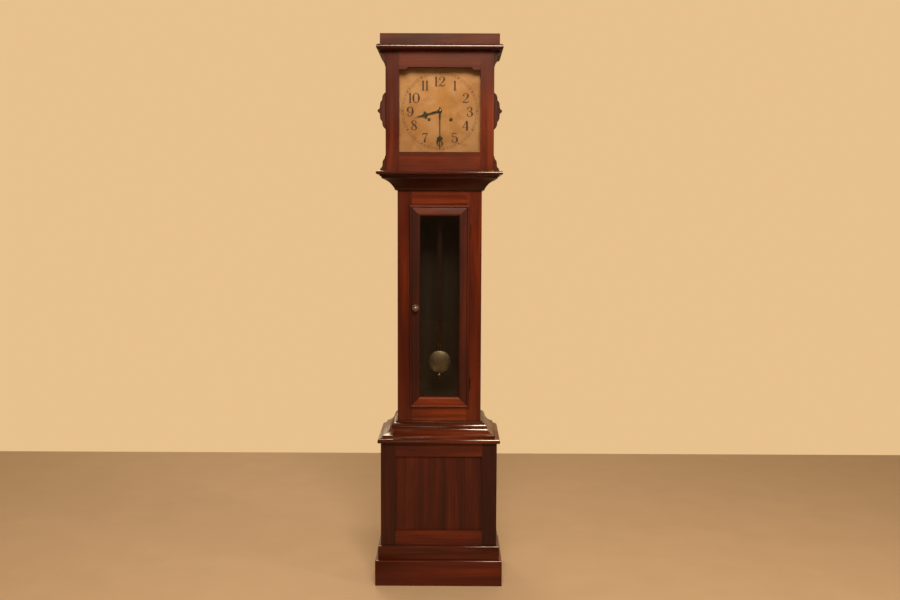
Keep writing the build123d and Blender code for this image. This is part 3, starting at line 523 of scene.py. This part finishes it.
# Each digit is one unit tall: its advance, its strokes, and its round terminals.
# A stroke is a list of (x, z, half width); a terminal is (x, z, radius).
DIGITS = {
    "0": (0.62, [[(0.31, 1.0, THIN), (0.13, 0.85, 0.05), (0.075, 0.5, THICK), (0.13, 0.15, 0.05),
                  (0.31, 0.0, THIN), (0.49, 0.15, 0.05), (0.545, 0.5, THICK), (0.49, 0.85, 0.05),
                  (0.31, 1.0, THIN)]], []),
    "1": (0.36, [[(0.18, 1.0, THICK), (0.18, 0.66, THICK), (0.18, 0.33, THICK), (0.18, 0.0, THICK)],
                 [(0.02, 0.86, THIN), (0.09, 0.90, THIN), (0.16, 0.98, 0.03)],
                 [(0.03, 0.01, SERIF), (0.18, 0.01, SERIF), (0.33, 0.01, SERIF)]], []),
    "2": (0.60, [[(0.10, 0.75, THIN), (0.13, 0.90, THIN), (0.28, 0.985, THIN), (0.44, 0.91, 0.05),
                  (0.485, 0.72, THICK), (0.40, 0.50, 0.055), (0.22, 0.28, 0.03), (0.07, 0.06, THIN)],
                 [(0.05, 0.035, 0.035), (0.20, 0.075, 0.055), (0.36, 0.05, 0.062), (0.48, 0.08, 0.035),
                  (0.535, 0.24, THIN)]], [(0.125, 0.75, 0.075)]),
    "3": (0.58, [[(0.10, 0.80, THIN), (0.16, 0.93, THIN), (0.28, 0.985, THIN), (0.42, 0.91, 0.05),
                  (0.455, 0.77, 0.065), (0.40, 0.62, 0.045), (0.24, 0.54, THIN)],
                 [(0.24, 0.54, THIN), (0.42, 0.47, 0.05), (0.495, 0.28, THICK), (0.43, 0.09, 0.05),
                  (0.27, 0.015, THIN), (0.12, 0.08, THIN), (0.08, 0.22, THIN)]],
          [(0.125, 0.79, 0.062), (0.105, 0.21, 0.068)]),
    "4": (0.62, [[(0.40, 1.0, 0.035), (0.24, 0.66, THIN), (0.03, 0.28, THIN)],
                 [(0.03, 0.27, THIN), (0.30, 0.27, THIN), (0.59, 0.27, THIN)],
                 [(0.42, 0.98, 0.05), (0.42, 0.66, THICK), (0.42, 0.33, THICK), (0.42, 0.0, THICK)],
                 [(0.28, 0.01, SERIF), (0.42, 0.01, SERIF), (0.56, 0.01, SERIF)]], []),
    "5": (0.58, [[(0.12, 0.99, 0.03), (0.30, 0.955, 0.05), (0.48, 0.985, 0.03)],
                 [(0.135, 0.97, THIN), (0.12, 0.76, THIN), (0.105, 0.55, THIN)],
                 [(0.105, 0.55, THIN), (0.20, 0.62, THIN), (0.34, 0.61, 0.04), (0.465, 0.48, 0.065),
                  (0.485, 0.29, THICK), (0.42, 0.09, 0.05), (0.26, 0.015, THIN), (0.11, 0.09, THIN),
                  (0.075, 0.21, THIN)]], [(0.105, 0.205, 0.068)]),
    "6": (0.60, [[(0.49, 0.82, THIN), (0.45, 0.94, THIN), (0.33, 0.985, THIN), (0.17, 0.85, 0.05),
                  (0.085, 0.50, THICK), (0.13, 0.15, 0.055), (0.30, 0.015, THIN)],
                 [(0.30, 0.015, THIN), (0.455, 0.10, 0.05), (0.51, 0.30, THICK), (0.455, 0.50, 0.05),
                  (0.32, 0.58, THIN), (0.19, 0.52, THIN), (0.12, 0.40, THIN)]], [(0.465, 0.80, 0.062)]),
    "7": (0.56, [[(0.055, 0.76, THIN), (0.075, 0.88, 0.03), (0.11, 0.965, 0.035)],
                 [(0.09, 0.955, 0.05), (0.22, 0.915, 0.065), (0.36, 0.935, 0.055), (0.50, 0.985, THIN)],
                 [(0.51, 0.985, THIN), (0.40, 0.70, THIN), (0.28, 0.40, 0.045), (0.25, 0.02, THICK)]], []),
    "8": (0.60, [[(0.30, 0.985, THIN), (0.17, 0.92, 0.05), (0.125, 0.78, 0.06), (0.21, 0.63, 0.07),
                  (0.38, 0.46, 0.075), (0.49, 0.25, 0.062), (0.43, 0.07, 0.04), (0.30, 0.015, THIN)],
                 [(0.30, 0.015, THIN), (0.15, 0.08, 0.04), (0.10, 0.25, 0.05), (0.18, 0.43, THIN),
                  (0.35, 0.58, THIN), (0.465, 0.75, THIN), (0.42, 0.92, 0.035), (0.30, 0.985, THIN)]], []),
    "9": (0.60, [[(0.11, 0.18, THIN), (0.15, 0.06, THIN), (0.27, 0.015, THIN), (0.43, 0.15, 0.05),
                  (0.515, 0.50, THICK), (0.47, 0.85, 0.055), (0.30, 0.985, THIN)],
                 [(0.30, 0.985, THIN), (0.145, 0.90, 0.05), (0.09, 0.70, THICK), (0.145, 0.50, 0.05),
                  (0.28, 0.42, THIN), (0.41, 0.48, THIN), (0.48, 0.60, THIN)]], [(0.135, 0.20, 0.062)]),
}
NUMERAL_HEIGHT = 0.0345
NUMERAL_RADIUS = 0.1065
NUMERAL_LIFT = 0.00012
# how far the numerals stand below the hands' own circle
NUMERAL_DROP = 0.003
# these hours stand closer to the level line through the middle, by this share
CLOSER_HOURS = (2, 4, 8, 10)
CLOSER = 0.91
# every digit but 1 is drawn wider than in DIGITS
ROUND_WIDENING = 1.25
# gap between two digits, in units of their height
GAP = 0.045


def stroke_faces(work, stroke, place, lift):
    """A raised ribbon along a stroke, with a bevelled top."""
    points = curve_through(stroke)
    rows = []
    for index, (x, z, half) in enumerate(points):
        before = points[max(index - 1, 0)]
        after = points[min(index + 1, len(points) - 1)]
        dx = after[0] - before[0]
        dz = after[1] - before[1]
        length = sqrt(dx * dx + dz * dz) or 1.0
        nx, nz = -dz / length, dx / length
        row = []
        for side, height in ((-1.0, 0.0), (-0.86, 1.0), (0.86, 1.0), (1.0, 0.0)):
            px, pz = place(x + nx * half * side, z + nz * half * side)
            row.append(work.verts.new((px, DIAL_FRONT - lift * height, pz)))
        rows.append(row)
    for near, far in zip(rows, rows[1:]):
        for k in range(3):
            work.faces.new((near[k], near[k + 1], far[k + 1], far[k]))
    for row in (rows[0], rows[-1]):
        work.faces.new(row)


def disc_faces(work, x, z, radius, place, lift, steps=20):
    """A raised dot with a bevelled rim."""
    top = []
    foot = []
    for step in range(steps):
        angle = 2 * pi * step / steps
        for ring, scale, height in ((top, 0.86, 1.0), (foot, 1.0, 0.0)):
            px, pz = place(x + radius * scale * cos(angle), z + radius * scale * sin(angle))
            ring.append(work.verts.new((px, DIAL_FRONT - lift * height, pz)))
    work.faces.new(top)
    for step in range(steps):
        after = (step + 1) % steps
        work.faces.new((foot[step], foot[after], top[after], top[step]))


def numeral(hour):
    """One upright hour numeral, centred on its place round the dial."""
    text = str(hour)
    angle = radians(30 * hour)
    closer = CLOSER if hour in CLOSER_HOURS else 1.0
    middle_x = DIAL_X + NUMERAL_RADIUS * sin(angle)
    middle_z = DIAL_Z - NUMERAL_DROP + NUMERAL_RADIUS * closer * cos(angle)
    widths = {c: 1.0 if c == "1" else ROUND_WIDENING for c in text}
    width = sum(DIGITS[c][0] * widths[c] for c in text) + GAP * (len(text) - 1)
    work = bmesh.new()
    start = -width / 2
    for character in text:
        advance, strokes, discs = DIGITS[character]

        def place(x, z, start=start, wider=widths[character]):
            return (middle_x + (start + x * wider) * NUMERAL_HEIGHT, middle_z + (z - 0.5) * NUMERAL_HEIGHT)

        for index, stroke in enumerate(strokes):
            stroke_faces(work, stroke, place, NUMERAL_LIFT * (1 + 0.12 * index))
        for x, z, radius in discs:
            disc_faces(work, x, z, radius, place, NUMERAL_LIFT * 1.5)
        start += advance * widths[character] + GAP
    bmesh.ops.recalc_face_normals(work, faces=work.faces)
    mesh = bpy.data.meshes.new(f"numeral_{hour}")
    work.to_mesh(mesh)
    work.free()
    return mesh


TRACK_INNER = 0.1300
TRACK_OUTER = 0.1368
TRACK_LINE = 0.0009
TRACK_LIFT = 0.00010
HOUR_DOT = 0.0024
MINUTE_DOT = 0.0014


def ring_faces(work, radius, half, lift, steps=240):
    """A raised line round the dial, with a bevelled top."""
    rows = []
    for step in range(steps):
        angle = 2 * pi * step / steps
        row = []
        for side, height in ((-1.0, 0.0), (-0.7, 1.0), (0.7, 1.0), (1.0, 0.0)):
            r = radius + half * side
            y = DIAL_FRONT - lift * height
            row.append(work.verts.new((DIAL_X + r * sin(angle), y, DIAL_Z + r * cos(angle))))
        rows.append(row)
    for step in range(steps):
        near = rows[step]
        far = rows[(step + 1) % steps]
        for k in range(3):
            work.faces.new((near[k], near[k + 1], far[k + 1], far[k]))


def minute_track():
    """Two lines with a dot between them at each minute, larger at the hours."""
    work = bmesh.new()
    ring_faces(work, TRACK_INNER, TRACK_LINE / 2, TRACK_LIFT)
    ring_faces(work, TRACK_OUTER, TRACK_LINE / 2, TRACK_LIFT)
    middle = (TRACK_INNER + TRACK_OUTER) / 2
    for minute in range(60):
        angle = radians(6 * minute)

        def place(x, z, angle=angle):
            return (DIAL_X + x * cos(angle) + z * sin(angle), DIAL_Z - x * sin(angle) + z * cos(angle))

        if minute % 5 == 0:
            disc_faces(work, 0, middle, HOUR_DOT, place, NUMERAL_LIFT, 12)
        else:
            disc_faces(work, 0, middle, MINUTE_DOT, place, TRACK_LIFT, 10)
    bmesh.ops.recalc_face_normals(work, faces=work.faces)
    mesh = bpy.data.meshes.new("minute_track")
    work.to_mesh(mesh)
    work.free()
    return mesh


def make_dial():
    wax = dial_paint()
    for hour in range(1, 13):
        mesh_piece(f"numeral_{hour}", numeral(hour), "case", wax, smooth=False)
    mesh_piece("minute_track", minute_track(), "case", wax, smooth=False)


def make_hands():
    blue = metal("blued_steel", (0.055, 0.075, 0.070), (0.020, 0.022, 0.020), 0.30, 90, 0.9)
    for name in ("hour_hand", "minute_hand"):
        dress(name, blue, edge=0.00025)
    nut_steel = metal("nut_steel", (0.42, 0.42, 0.36), (0.22, 0.22, 0.18), 0.26, 120)
    low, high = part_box("hand_nut")
    front = low.y
    profile = [(0.0, front), (0.0012, front + 0.0001), (0.0030, front + 0.0007), (0.0040, front + 0.0016),
               (0.0042, front + 0.0026), (0.0042, high.y), (0.0, high.y)]
    nut = lathe("hand_nut_turned", profile, (DIAL_X, DIAL_Z), "minute_hand", nut_steel, 48)
    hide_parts("hand_nut")


def make_knob():
    """A turned knob on a rose: neck, bulging rim and a shallow dished face."""
    brass = metal("knob_brass", (0.36, 0.265, 0.195), (0.14, 0.100, 0.075), 0.40, 150)
    back = KNOB_HIGH.y
    front = KNOB_LOW.y
    rose = front + 0.019
    profile = [(0.0, back), (0.0030, back), (0.0030, rose), (0.0124, rose), (0.0125, rose - 0.0006)]
    profile += arc((0.0115, rose - 0.0012), 0.0010, 0, -90, 4)
    profile += [(0.0098, rose - 0.0021), (0.0092, rose - 0.0028), (0.0070, rose - 0.0030)]
    profile += [(0.0052, rose - 0.0040), (0.0046, rose - 0.0060), (0.0052, rose - 0.0078)]
    profile += arc((0.0062, front + 0.0072), 0.0043, 75, -35, 10)
    profile += [(0.0086, front + 0.0036), (0.0080, front + 0.0036), (0.0074, front + 0.0026)]
    profile += [(0.0060, front + 0.0012), (0.0040, front + 0.0005), (0.0020, front + 0.0001), (0.0, front)]
    knob = lathe("door_knob_turned", profile, (KNOB_X, KNOB_Z), "knob", brass, 64)
    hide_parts("door_knob")


def make_bob():
    """A lens-shaped bob with fine turning rings."""
    n = Nodes("bob_brass")
    distance = n.add("ShaderNodeVectorMath", operation="DISTANCE")
    n.link(n.place, distance.inputs[0])
    distance.inputs[1].default_value = (BOB_X, BOB_LOW.y, BOB_Z)
    spin = n.math("SINE", n.math("MULTIPLY", distance.outputs["Value"], 9000.0))
    tarnish = n.noise(n.place, 60, 5, 0.5)
    colour = n.ramp(tarnish, [(0.35, (0.20, 0.165, 0.115)), (0.65, (0.34, 0.285, 0.205))])
    n.set(Base_Color=colour, Metallic=0.9)
    n.set(Roughness=n.fade(tarnish, 0.3, 0.7, 0.48, 0.34))
    n.set(Normal=n.bump(spin, 0.10, 0.0001))
    half = (BOB_HIGH.y - BOB_LOW.y) / 2
    rim = 0.0015
    rim_round = 0.0012
    profile = [(0.0, BOB_LOW.y)]
    sphere = (BOB_RADIUS ** 2 + (half - rim) ** 2) / (2 * (half - rim))
    steps = 14
    front = []
    for step in range(1, steps + 1):
        radius = (BOB_RADIUS - rim_round) * step / steps
        front.append((radius, half - sphere + sqrt(sphere ** 2 - radius ** 2)))
    profile += [(radius, BOB_Y - depth) for radius, depth in front]
    profile += arc((BOB_RADIUS - rim_round, BOB_Y), rim_round, -70, 70, 8)
    profile += [(radius, BOB_Y + depth) for radius, depth in reversed(front)]
    profile += [(0.0, BOB_HIGH.y)]
    bob = lathe("pendulum_bob_turned", profile, (BOB_X, BOB_Z), "pendulum", n.material, 128)
    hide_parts("pendulum_bob")


def make_rating_nut():
    """A knurled nut under a taper, on the pendulum's screw."""
    brass = metal("nut_brass", (0.50, 0.35, 0.16), (0.26, 0.17, 0.08), 0.28, 150)
    low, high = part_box("rating_nut")
    centre_y = (low.y + high.y) / 2
    radius = (high.x - low.x) / 2
    bore = 0.00155
    work = bmesh.new()
    teeth = 36
    steps = teeth * 2
    heights = [(low.z, 0.90, False), (low.z + 0.0006, 1.0, True), (low.z + 0.0054, 1.0, True),
               (low.z + 0.0060, 0.90, False), (high.z, 0.58, False)]
    rings = []
    for z, scale, knurled in heights:
        ring = []
        for step in range(steps):
            angle = 2 * pi * step / steps
            dent = 0.96 if knurled and step % 2 else 1.0
            r = radius * scale * dent
            ring.append(work.verts.new((r * cos(angle), centre_y + r * sin(angle), z)))
        rings.append(ring)
    for z in (high.z, low.z):
        ring = []
        for step in range(steps):
            angle = 2 * pi * step / steps
            ring.append(work.verts.new((bore * cos(angle), centre_y + bore * sin(angle), z)))
        rings.append(ring)
    rings.append(rings[0])
    for near, far in zip(rings, rings[1:]):
        for step in range(steps):
            after = (step + 1) % steps
            work.faces.new((near[step], near[after], far[after], far[step]))
    bmesh.ops.recalc_face_normals(work, faces=work.faces)
    mesh = bpy.data.meshes.new("rating_nut_knurled")
    work.to_mesh(mesh)
    work.free()
    nut = mesh_piece("rating_nut_knurled", mesh, "rating_nut", brass, smooth=False)
    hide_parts("rating_nut")


# ---- stage ----
def make_floor():
    """A pale floor that ends behind the clock, where the room's own colour begins."""
    size = 9.0
    room_line = 1.9
    corners = [(-size, -size, 0), (size, -size, 0), (size, room_line, 0), (-size, room_line, 0)]
    mesh = bpy.data.meshes.new("floor")
    mesh.from_pydata(corners, [], [(0, 1, 2, 3)])
    floor = bpy.data.objects.new("floor", mesh)
    bpy.context.scene.collection.objects.link(floor)
    n = Nodes("pale_floor")
    grain = n.noise(n.place, 6, 3)
    colour = n.ramp(grain, [(0.3, (0.59, 0.430, 0.290)), (0.7, (0.62, 0.455, 0.310))])
    n.set(Base_Color=colour, Roughness=0.7)
    mesh.materials.append(n.material)


def area_light(name, place, target, size, power, colour):
    """A rectangular lamp at place that shines towards target."""
    data = bpy.data.lights.new(name, "AREA")
    data.shape = "RECTANGLE"
    data.size, data.size_y = size
    data.energy = power
    data.color = colour
    light = bpy.data.objects.new(name, data)
    bpy.context.scene.collection.objects.link(light)
    light.location = place
    light.rotation_euler = (Vector(target) - Vector(place)).to_track_quat("-Z", "Y").to_euler()


ROOM_FRONT = (0.120, 0.070, 0.032, 1)
ROOM_BACK = (0.800, 0.530, 0.265, 1)


def make_room():
    """Dim in front of the clock and pale behind it."""
    world = bpy.data.worlds.new("room")
    bpy.context.scene.world = world
    world.use_nodes = True
    tree = world.node_tree
    direction = tree.nodes.new("ShaderNodeTexCoord").outputs["Generated"]
    parts = tree.nodes.new("ShaderNodeSeparateXYZ")
    tree.links.new(direction, parts.inputs[0])
    ramp = tree.nodes.new("ShaderNodeValToRGB")
    tree.links.new(parts.outputs["Y"], ramp.inputs["Fac"])
    elements = ramp.color_ramp.elements
    elements[0].position = 0.0
    elements[0].color = ROOM_FRONT
    elements[1].position = 0.85
    elements[1].color = ROOM_BACK
    tree.links.new(ramp.outputs["Color"], tree.nodes["Background"].inputs["Color"])


def make_lights():
    """A large key from above the camera, with weaker lamps all round."""
    warm = (1.0, 0.82, 0.58)
    area_light("key", (0.24, -2.6, 3.35), (0, 0, 1.25), (1.15, 1.2), 104, warm)
    area_light("key_left", (-0.60, -2.6, 3.35), (0, 0, 1.25), (0.50, 0.75), 8, warm)
    area_light("window", (1.60, -4.2, 2.75), (0, 0, 1.9), (1.3, 0.7), 7, (1.0, 0.86, 0.80))
    area_light("strip", (2.4, -1.4, 1.9), (0, 0, 1.0), (0.35, 1.8), 14, warm)
    area_light("fill", (-2.6, -2.8, 1.9), (0, 0, 1.1), (1.6, 2.0), 9, warm)
    area_light("back", (-1.2, 3.2, 2.8), (0, 0, 1.2), (1.6, 1.6), 30, warm)


def make_camera():
    """Eye height just under the dial, looking slightly down, a little right of the middle."""
    pitch = radians(4.91)
    yaw = radians(-0.18)
    roll = radians(0.21)
    place = Vector((0.050, -3.745, 1.355))
    data = bpy.data.cameras.new("camera")
    data.sensor_width = 36.0
    data.lens = 40.56
    camera = bpy.data.objects.new("camera", data)
    bpy.context.scene.collection.objects.link(camera)
    forward = Vector((sin(yaw) * cos(pitch), cos(yaw) * cos(pitch), -sin(pitch)))
    level_right = Vector((cos(yaw), -sin(yaw), 0))
    level_down = forward.cross(level_right)
    right = level_right * cos(roll) - level_down * sin(roll)
    up = -(level_down * cos(roll) + level_right * sin(roll))
    turn = Matrix((right, up, -forward)).transposed().to_4x4()
    camera.matrix_world = Matrix.Translation(place) @ turn
    bpy.context.scene.camera = camera


dress_mouldings()
dress_boards()
dress_cornice()
dress_metal()
make_dial()
make_hands()
make_knob()
make_bob()
make_rating_nut()
make_floor()
make_room()
make_lights()
make_camera()
bpy.context.scene.view_settings.view_transform = "Standard"
